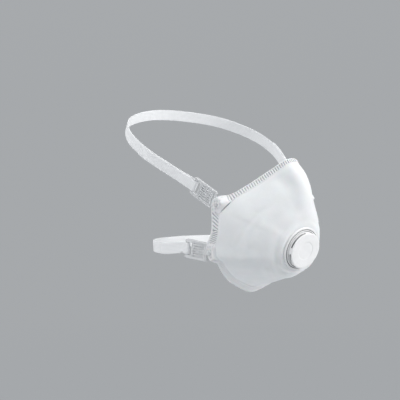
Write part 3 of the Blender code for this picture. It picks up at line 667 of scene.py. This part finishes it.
def outer_shell(cup):
    """The moulded cup with its welded rim: coarse columns on the wall, fine ones on the ribbed flange."""
    seam = cup.wall_end
    v = cup.flange_v[:, None]
    edge = smooth_step((v - 0.9) / 0.1)
    thick = OUTER_THICK + (RIM_THICK - OUTER_THICK) * smooth_step(v / 0.15) - 0.45 * edge
    outer = cup.points + cup.normals * (cup.wall_relief - cup.groove - 0.12 * edge)[..., None]
    inner = cup.points + cup.normals * (cup.wall_relief - thick - 0.25 * cup.groove)[..., None]
    coarse = slice(0, COLUMNS, WALL_STEP)
    layers, points, weld_and_shade_values = [], [], []
    for surface in (outer, inner):
        wall, flange = surface[:seam, coarse], surface[seam:]
        start = sum(len(p) for p in points)
        wall_index = start + np.arange(wall.shape[0] * wall.shape[1]).reshape(wall.shape[:2])
        flange_index = wall_index[-1, -1] + 1 + np.arange(flange.shape[0] * COLUMNS).reshape(-1, COLUMNS)
        points += [wall.reshape(-1, 3), flange.reshape(-1, 3)]
        weld_and_shade_values += [cup.weld[:seam, coarse].reshape(-1), cup.weld[seam:].reshape(-1)]
        layers.append((wall_index, flange_index))
    (wall_f, flange_f), (wall_b, flange_b) = layers
    faces = two_sided(wall_f, wall_b, True) + two_sided(flange_f, flange_b, True)
    columns = wall_f.shape[1]
    for wall, flange in ((wall_f, flange_f), (wall_b, flange_b)):
        for c in range(columns):
            stretch = [flange[0, (c * WALL_STEP + k) % COLUMNS] for k in range(WALL_STEP + 1)]
            faces.append((wall[-1, c], *stretch, wall[-1, (c + 1) % columns]))
    for first, second in ((wall_f[0], wall_b[0]), (flange_f[-1], flange_b[-1])):
        faces += edge_strip(np.append(first, first[0]), np.append(second, second[0]))
    shell = new_piece(
        "cup", np.vstack(points), [tuple(int(i) for i in f) for f in faces], FINISHES["nonwoven"]
    )
    # Per point welded grey for the rim, partly painted shade.
    weld = shell.data.attributes.new("weld", "FLOAT", "POINT")
    weld.data.foreach_set("value", np.concatenate(weld_and_shade_values).astype(np.float32))
    return stand_for(shell, "outer_shell")


def make_cup():
    cup = Cup()
    outer_shell(cup)
    t = cup.wall_t[:, None]
    coarse = np.arange(0, COLUMNS, WALL_STEP)
    tuck = smooth_step((t - 0.84) / 0.13)
    for node, slot, finish, depth, thick, closer, last in (
        ("filter_layer", "filter_web", "filter", FILTER_DEPTH, FILTER_THICK, 1.0, 0.88),
        ("inner_shell", "liner", "liner", LINER_DEPTH, LINER_THICK, OUTER_THICK + 0.08, 0.975),
    ):
        rows = np.flatnonzero((cup.wall_t <= last) & (cup.flange_v == 0))
        near = depth + (closer - depth) * tuck
        piece = cup_layer(node, cup, near, near + thick, rows, coarse, True, FINISHES[finish])
        stand_for(piece, node)
    across = np.arange(-NOSE_STATIONS * COLUMNS_PER_STATION, NOSE_STATIONS * COLUMNS_PER_STATION + 1, 4)
    rows = np.flatnonzero((cup.wall_t >= CLIP_T[0]) & (cup.wall_t <= CLIP_T[1]) & (cup.flange_v == 0))
    clip = cup_layer("clip", cup, CLIP_DEPTH, CLIP_DEPTH + CLIP_THICK, rows, across, False, FINISHES["metal"])
    stand_for(clip, "nose_clip")
    rows = np.flatnonzero((cup.wall_t >= FOAM_T[0]) & (cup.wall_t <= FOAM_T[1]) & (cup.flange_v == 0))
    along = np.abs(across / across[-1])[None, :]
    over = np.abs(2 * (t - FOAM_T[0]) / (FOAM_T[1] - FOAM_T[0]) - 1)
    swell = np.zeros((len(cup.points), COLUMNS))
    crown = np.sqrt(np.clip(1 - over**6, 0, 1)) * np.sqrt(np.clip(1 - along**30, 0, 1))
    swell[:, across % COLUMNS] = crown
    top = FOAM_DEPTH + 0.5 * (1 - swell)
    bottom = top + 0.1 + (FOAM_THICK - 0.6) * swell
    foam = cup_layer("foam", cup, top, bottom, rows, across, False, FINISHES["foam"])
    stand_for(foam, "nose_foam")


# ---------------------------------------------------------------- the exhalation valve
def paint_shade_inside(obj, place, spaces):
    """Marks points deep in the valve for painted shade: each space is least and most radius and height, then
    its share of the shade.
    """
    points = np.array([v.co for v in obj.data.vertices]) / MM
    local = (points - np.array(place)[:3, 3]) @ np.array(place)[:3, :3]
    radius, height = np.hypot(local[:, 0], local[:, 1]), local[:, 2]
    marked = np.zeros(len(points), np.float32)
    for least, most, low, high, share in spaces:
        marked[(radius > least) & (radius < most) & (height > low) & (height < high)] = share
    # The inside attribute carries this painted shade to the valve's material.
    obj.data.attributes.new("inside", "FLOAT", "POINT").data.foreach_set("value", marked)


def make_valve():
    valve, place = FINISHES["valve"], axes_matrix((1, 0, 0), VALVE_UP, VALVE_OUT, VALVE_CENTRE)
    seat_outline = [
        (SEAT_BORE, 1.2), (SEAT_BORE + 0.4, 1.9), (12.6, 1.9), (13.0, 1.3), (16.4, 1.3), (16.5, 2.5),
        (17.2, 2.5), (17.3, 0.7), (17.8, 0.7), (17.9, 1.8), (19.0, 1.8), (SEAT_RADIUS, 1.2),
        (SEAT_RADIUS, GAP), (SPIGOT_RADIUS, GAP), (SPIGOT_RADIUS, -5.1), (13.0, -5.1), (13.0, -0.4),
        (SEAT_BORE, -0.4),
    ]
    seat = revolve("seat", seat_outline, valve, place)
    reach = SEAT_BORE + 0.8
    for half_x, half_y, low, high in ((reach, 0.9, -0.3, 1.3), (0.9, reach, -0.2, 1.4)):
        bar = box_piece("bar", (-half_x, -half_y, low), (half_x, half_y, high), valve, place)
        combine(seat, bar, "UNION")
    tidy_faces(seat, 40)
    # Painted shade in the seat's bore and in the groove beside its outer ring.
    paint_shade_inside(seat, place, ((SEAT_BORE - 1, 16.45, 0.2, 1.95, 0.9), (17.2, 17.95, 0.5, 1.3, 1.0)))
    stand_for(seat, "valve_seat")

    bore = SPIGOT_RADIUS + GAP
    ring_outline = [(bore, -4.6), (19.0, -4.6), (19.4, -4.2), (19.4, -3.0), (bore, -3.0)]
    ring = revolve("ring", ring_outline, valve, place, radius=0.3)
    stand_for(ring, "valve_retaining_ring")

    opening = math.degrees(math.acos(FLAP_HINGE_Y / FLAP_RADIUS))
    outline = arc((0, 0), FLAP_RADIUS, 90 + opening, 450 - opening, 96)
    low = FLAP_BASE
    flap = plate("flap", outline, low, low + FLAP_THICK, FINISHES["silicone"], place)
    round_edges(flap, 0.1)
    stand_for(flap, "valve_flap")
    clamp_low = (-6.0, FLAP_HINGE_Y + GAP, FLAP_BASE)
    clamp = box_piece("clamp", clamp_low, (6.0, FLAP_HINGE_Y + 2.3, FLAP_BASE + 1.2), valve, place)
    round_edges(clamp, 0.2)
    stand_for(clamp, "flap_clamp")

    top, under, foot = COVER_TOP, COVER_TOP - 1.2, 1.7
    cover_outline = [
        (0, under), (COVER_RADIUS - 1.6, under), (COVER_RADIUS - 1.6, foot), (COVER_RADIUS, foot),
        (COVER_RADIUS, top - 0.7), (COVER_RADIUS - 0.3, top - 0.2), (COVER_RADIUS - 0.9, top),
        (8.4, top), (7.6, top - 0.3), (0, top - 0.3),
    ]
    cover = revolve("cover", cover_outline, valve, place)
    for k in range(WINDOWS):
        turn = 360 * k // WINDOWS
        start, end = WINDOW_START + turn, WINDOW_END + turn
        outline = arc((0, 0), COVER_RADIUS - 3, start, end, 24)
        outline += arc((0, 0), COVER_RADIUS + 2, end, start, 24)
        combine(cover, plate("window", outline, foot + 2.0, under, valve, place), "DIFFERENCE")
    tidy_faces(cover, 40)
    # Painted shade under the cover, inside its windows.
    paint_shade_inside(cover, place, ((-1, COVER_RADIUS - 1.5, foot - 0.5, under + 0.05, 1.0),))
    stand_for(cover, "valve_cover")


# ---------------------------------------------------------------- studs and buckles
def make_studs():
    inside = EYE_X - EAR_PLANE_X - EYE_THICK / 2
    stud = [
        (0, inside - 1.2), (STUD_RADIUS, inside - 1.2), (STUD_RADIUS, 0.35), (STUD_HEAD_RADIUS, 0.35),
        (STUD_HEAD_RADIUS, 0.6), (STUD_HEAD_RADIUS - 0.7, 0.9), (0, 0.9),
    ]
    bore = STUD_RADIUS + GAP
    cap = [
        (0, inside - 2.3), (STUD_CAP_RADIUS - 0.6, inside - 2.3), (STUD_CAP_RADIUS, inside - 1.7),
        (STUD_CAP_RADIUS, inside - 0.35), (bore, inside - 0.35), (bore, inside - 1.6), (0, inside - 1.6),
    ]
    for level, (y, z) in STUDS.items():
        for side, sign in SIDES.items():
            up, outward = Vector((0, 0, 1)), Vector((sign, 0, 0))
            place = axes_matrix(up, outward.cross(up), outward, (sign * EAR_PLANE_X, y, z))
            for node, outline in (("ear_stud", stud), ("stud_cap", cap)):
                piece = revolve(node, outline, FINISHES["clear"], place, steps=40, radius=0.15)
                stand_for(piece, f"{node}_{level}_{side}")


def flat_buckle():
    """The clear buckle before it is bent: an eye, a neck, and a ribbed plate with a slot and a bar."""
    clear, half, corner, neck = FINISHES["clear"], BUCKLE_WIDTH / 2, 1.5, 2.3
    top, bottom = EYE_THICK / 2, EYE_THICK / 2 - BUCKLE_THICK
    corners = [
        (BUCKLE_END - corner, half - corner, 0), (BUCKLE_START + corner, half - corner, 90),
        (BUCKLE_START + corner, corner - half, 180), (BUCKLE_END - corner, corner - half, 270),
    ]
    outline = [p for x, y, a in corners for p in arc((x, y), corner, a, a + 90, 8)]
    body = plate("buckle", outline, bottom, top, clear)
    slot_end = BUCKLE_END - BAR_WIDTH
    slot_start = slot_end - SLOT_WIDTH
    rail, panel_end = BUCKLE_START + 2.9, slot_start - 1.2
    holes = [((slot_start, -SLOT_HEIGHT / 2, bottom - 1), (slot_end, SLOT_HEIGHT / 2, top + 1))]
    holes.append(((BUCKLE_START + 1.0, 1.1 - half, top - 0.45), (rail - 0.9, half - 1.1, top + 1)))
    holes.append(((rail, 1.1 - half, top - 0.35), (panel_end, half - 1.1, top + 1)))
    for k in range(GROOVES):
        middle = (k - (GROOVES - 1) / 2) * GROOVE_PITCH
        low, high = middle - GROOVE_WIDTH / 2, middle + GROOVE_WIDTH / 2
        holes.append(((rail + 0.7, low, bottom + 0.4), (panel_end - 0.8, high, top + 1)))
    holes.append(((slot_end - 0.5, -SLOT_HEIGHT / 2, top - 0.5), (BUCKLE_END + 1, SLOT_HEIGHT / 2, top + 1)))
    for low, high in holes:
        combine(body, box_piece("hole", low, high, clear, None), "DIFFERENCE")
    reach = math.degrees(math.asin(neck / EYE_RADIUS))
    eye = arc((0, 0), EYE_RADIUS, reach, 360 - reach, 40)
    eye += [(BUCKLE_START + 0.6, -neck), (BUCKLE_START + 0.6, neck)]
    combine(body, plate("eye", eye, -EYE_THICK / 2, EYE_THICK / 2, clear), "UNION")
    bore = arc((0, 0), STUD_RADIUS + 0.4, 0, 350, 35)
    combine(body, plate("bore", bore, -3, 3, clear), "DIFFERENCE")
    round_edges(body, 0.14)
    return body


def buckle_axes(side, slope):
    """Axes of a buckle's flat part: along the band, across it, and out from the face."""
    angle = math.radians(slope)
    along, outward = Vector((0, math.cos(angle), math.sin(angle))), Vector((side, 0, 0))
    return along, outward.cross(along), outward


def bent(point, lean):
    """Past the bend line the buckle leans outwards, as the band does along the side of the head."""
    x, y, z = point
    along = max(0.0, x - BUCKLE_START)
    if along == 0:
        return x, y, z
    rise = along * math.sin(lean) + z * math.cos(lean)
    return BUCKLE_START + along * math.cos(lean) - z * math.sin(lean), y, rise


def make_buckles():
    pattern = flat_buckle()
    points = [v.co / MM for v in pattern.data.vertices]
    for level, (y, z) in STUDS.items():
        slope, lean = BUCKLE_POSE[level]
        for side, sign in SIDES.items():
            place = axes_matrix(*buckle_axes(sign, slope), (sign * EYE_X, y, z))
            mesh = pattern.data.copy()
            for v, point in zip(mesh.vertices, points):
                v.co = (place @ Vector(bent(point, math.radians(lean)))) * MM
            piece = bpy.data.objects.new("buckle", mesh)
            bpy.context.scene.collection.objects.link(piece)
            if place.determinant() < 0:
                tidy_faces(piece, 50)
            stand_for(piece, f"buckle_{level}_{side}")
    bpy.data.objects.remove(pattern, do_unlink=True)


# ---------------------------------------------------------------- headbands
def open_spline(points, per_segment):
    points = np.vstack((2 * points[0] - points[1], points, 2 * points[-1] - points[-2]))
    a, b, c, d = (points[k : len(points) - 3 + k, None] for k in range(4))
    return np.vstack((catmull_rom(a, b, c, d, per_segment).reshape(-1, 3), points[-2]))


def evenly(points, step):
    lengths = np.concatenate(([0.0], np.cumsum(np.linalg.norm(np.diff(points, axis=0), axis=1))))
    wanted = np.linspace(0, lengths[-1], round(lengths[-1] / step) + 1)
    return [Vector([np.interp(s, lengths, points[:, k]) for k in range(3)]) for s in wanted]


def band_half(level):
    """Half a headband on the +X side, tail end first, as (centre, across, outward) at each station."""
    run, centre, radii, tail_length = BANDS[level]
    slope, lean = BUCKLE_POSE[level]
    lean = math.radians(lean)
    along, _, outward = buckle_axes(1, slope)
    plate_along = along * math.cos(lean) + outward * math.sin(lean)
    plate_out = outward * math.cos(lean) - along * math.sin(lean)
    origin = Vector((EYE_X, *STUDS[level])) + along * BUCKLE_START

    def on_plate(u, w):
        return origin + plate_along * (u - BUCKLE_START) + plate_out * w

    low = EYE_THICK / 2 - BUCKLE_THICK - GAP - 0.1 - BAND_THICK / 2
    high = EYE_THICK / 2 - 0.5 + GAP + 0.1 + BAND_THICK / 2
    middle, radius = (low + high) / 2, (high - low) / 2
    fold_u = BUCKLE_END - BAR_WIDTH - GAP - 0.1 - BAND_THICK / 2 + radius
    fold = []
    for k in range(FOLD_STEPS + 1):
        a = math.pi * (0.5 + k / FOLD_STEPS)
        facing = plate_out * math.sin(a) + plate_along * math.cos(a)
        fold.append((on_plate(fold_u + radius * math.cos(a), middle + radius * math.sin(a)), facing))
    route = [on_plate(BUCKLE_END - 4, low), on_plate(BUCKLE_END + 3, low)] + [Vector(p) for p in run]
    route.append(Vector((-run[-2][0], run[-2][1], run[-2][2])))
    fine = 24
    curve = evenly(open_spline(np.array(route), fine)[fine:-fine], BAND_STEP)
    step = (curve[1] - curve[0]).length
    main = []
    for i, point in enumerate(curve):
        before, after = curve[max(i - 1, 0)], curve[min(i + 1, len(curve) - 1)]
        ahead = plate_along if i == 0 else (after - before).normalized()
        if i == len(curve) - 1:
            ahead = Vector((-1, 0, 0))
        skin = Vector([(point[k] - centre[k]) / radii[k] ** 2 for k in range(3)]).normalized()
        normal = plate_out.lerp(skin, float(smooth_step(i * step / TURN_LENGTH)))
        normal = (normal - ahead * normal.dot(ahead)).normalized()
        main.append((point, normal.cross(ahead).normalized(), normal))
    over = BAND_THICK + GAP + 0.05
    tail = []
    for i, (point, wide, normal) in enumerate(main):
        if i * step > tail_length:
            break
        lift = over + (high - low - over) * (1 - float(smooth_step((i * step + 3) / TAIL_SETTLE)))
        tail.append((point + normal * lift, wide, normal))
    wide = main[0][1]
    loop = [(point, wide, facing) for point, facing in fold]
    lead_out = (on_plate(BUCKLE_END, high), wide, plate_out)
    lead_in = (on_plate(BUCKLE_END, low), wide, -plate_out)
    return tail[::-1] + [lead_out] + loop + [lead_in] + [(p, w, -n) for p, w, n in main]


def band_section():
    """The strap's outline as (across, up): fine lengthwise ridges on both faces and rounded edges."""
    half, thick, steps = BAND_WIDTH / 2, BAND_THICK / 2, RIDGES * RIDGE_STEPS
    top = []
    for k in range(steps + 1):
        across = half - BAND_EDGE - (BAND_WIDTH - 2 * BAND_EDGE) * k / steps
        lift = thick - RIDGE_HEIGHT * (1 - abs(math.sin(math.pi * k / RIDGE_STEPS)))
        top.append((across, lift * (1 - 0.25 * (abs(across) / half) ** 12)))
    edge = [(-half + 0.05, 0.2), (-half, 0), (-half + 0.05, -0.2)]
    return top + edge + [(-x, -z) for x, z in top] + [(-x, -z) for x, z in edge]


def make_bands():
    section = band_section()
    for level in BANDS:
        half = band_half(level)
        mirror = Vector((-1, 1, 1))
        whole = half + [tuple(v * mirror for v in station) for station in half[-2::-1]]
        points, weave, faces, travelled = [], [], [], 0.0
        for i, (centre, wide, normal) in enumerate(whole):
            travelled += (centre - whole[max(i - 1, 0)][0]).length
            end = min(i, len(whole) - 1 - i)
            pinch = 1 - 0.35 * max(0.0, 1 - end / 1.5)
            for across, lift in section:
                points.append(centre + wide * across + normal * (lift * pinch))
                weave.append((across, travelled, 0.0))
        size = len(section)
        for i in range(len(whole) - 1):
            for k in range(size):
                n = (k + 1) % size
                faces.append((i * size + k, i * size + n, (i + 1) * size + n, (i + 1) * size + k))
        last = (len(whole) - 1) * size
        faces += [tuple(range(size))[::-1], tuple(last + k for k in range(size))]
        band = new_piece("band", points, faces, FINISHES["elastic"])
        where = band.data.attributes.new("weave", "FLOAT_VECTOR", "POINT")
        where.data.foreach_set("vector", np.array(weave, np.float32).ravel())
        stand_for(band, f"{level}_headband")


# ---------------------------------------------------------------- stage, light and camera
HORIZON, ZENITH = 0.41, 0.50  # brightness of the sky at its edge and overhead
SKY = (0.93, 0.965, 1.0)
FLOOR_Z, FLOOR_RADIUS, FLOOR_THICK = -900.0, 12000.0, 10.0  # millimetres
FLOOR_FADE = (1.0, 7.0)  # where the floor starts and ends to fade into the sky, metres
VIEW_AZIMUTH, VIEW_ELEVATION, VIEW_DISTANCE = -41.0, 3.0, 1.6
SENSOR_WIDTH, PICTURE_WIDTH = 36.0, 0.344828  # the picture's width is that at the nose tip's distance
NOSE_TIP = Vector((0, -0.032, 0))
AIM_LEFT, AIM_UP = 0.081466, 0.023276  # from the nose tip to the middle of the picture
LIT_CENTRE = Vector((0, 0.02, 0))
LIGHTS = (  # name, azimuth, elevation, distance, size, watts, colour
    ("key", 32, 26, 1.5, 0.9, 16.5, (1.0, 0.99, 0.975)),
    ("side", -120, 20, 1.6, 0.8, 5.0, (1.0, 0.995, 0.99)),
    ("fill", -68, 52, 1.7, 0.7, 8.0, (1.0, 0.995, 0.99)),
    ("back", 175, 40, 1.8, 1.2, 6.0, (1.0, 1.0, 1.0)),
)


def view_axes(azimuth, elevation):
    a, e = math.radians(azimuth), math.radians(elevation)
    back = Vector((math.sin(a) * math.cos(e), -math.cos(a) * math.cos(e), math.sin(e)))
    right = Vector((math.cos(a), math.sin(a), 0))
    return right, back.cross(right), back


def make_camera():
    right, up, back = view_axes(VIEW_AZIMUTH, VIEW_ELEVATION)
    aim = NOSE_TIP - right * AIM_LEFT + up * AIM_UP
    data = bpy.data.cameras.new("camera")
    data.sensor_width = SENSOR_WIDTH
    data.lens = SENSOR_WIDTH * VIEW_DISTANCE / PICTURE_WIDTH
    data.clip_start, data.clip_end = 0.05, 30.0
    camera = bpy.data.objects.new("camera", data)
    bpy.context.scene.collection.objects.link(camera)
    camera.matrix_world = axes_matrix(right, up, back, aim + back * VIEW_DISTANCE)
    bpy.context.scene.camera = camera


def softbox(name, azimuth, elevation, distance, size, watts, colour):
    _, _, back = view_axes(azimuth, elevation)
    data = bpy.data.lights.new(name, "AREA")
    data.shape, data.size, data.energy, data.color = "DISK", size, watts, colour
    light = bpy.data.objects.new(name, data)
    light.location = LIT_CENTRE + back * distance
    light.rotation_euler = back.to_track_quat("Z", "Y").to_euler()
    bpy.context.scene.collection.objects.link(light)


def floor_finish():
    """Pale, and fading with distance into the sky's own brightness, so that no horizon shows."""
    made = Finish("pale_floor", (0.86, 0.87, 0.88), 0.9, Specular_IOR_Level=0.0)
    cloud = made.noise(180.0, 2.0)
    distance = made.node("ShaderNodeVectorMath", operation="LENGTH")
    made.feed(distance.inputs[0], made.where)
    far = made.spread(distance.outputs["Value"], *FLOOR_FADE)
    near_colour = made.blend(cloud, (0.855, 0.866, 0.878), (0.865, 0.874, 0.884))
    made.colour(made.blend(far, near_colour, (0.0, 0.0, 0.0)))
    made.shader.inputs["Emission Color"].default_value = (*SKY, 1)
    made.feed(made.shader.inputs["Emission Strength"], made.math("MULTIPLY", far, HORIZON))
    return made.made


def make_sky():
    world = bpy.data.worlds.new("studio")
    world.use_nodes = True
    nodes, links = world.node_tree.nodes, world.node_tree.links
    where = nodes.new("ShaderNodeTexCoord")
    parts = nodes.new("ShaderNodeSeparateXYZ")
    ramp = nodes.new("ShaderNodeMapRange")
    sky = nodes["Background"]
    links.new(where.outputs["Generated"], parts.inputs["Vector"])
    links.new(parts.outputs["Z"], ramp.inputs["Value"])
    for socket, value in zip(ramp.inputs[1:5], (0.0, 0.9, HORIZON, ZENITH)):
        socket.default_value = value
    links.new(ramp.outputs["Result"], sky.inputs["Strength"])
    sky.inputs["Color"].default_value = (*SKY, 1)
    bpy.context.scene.world = world


def make_stage():
    outline = arc((0, 0), FLOOR_RADIUS, 0, 350, 35)
    floor = plate("floor", outline, FLOOR_Z - FLOOR_THICK, FLOOR_Z, floor_finish())
    make_sky()
    for light in LIGHTS:
        softbox(*light)


make_camera()
make_cup()
make_valve()
make_studs()
make_buckles()
make_bands()
make_stage()
bpy.context.scene.view_settings.view_transform = "Standard"
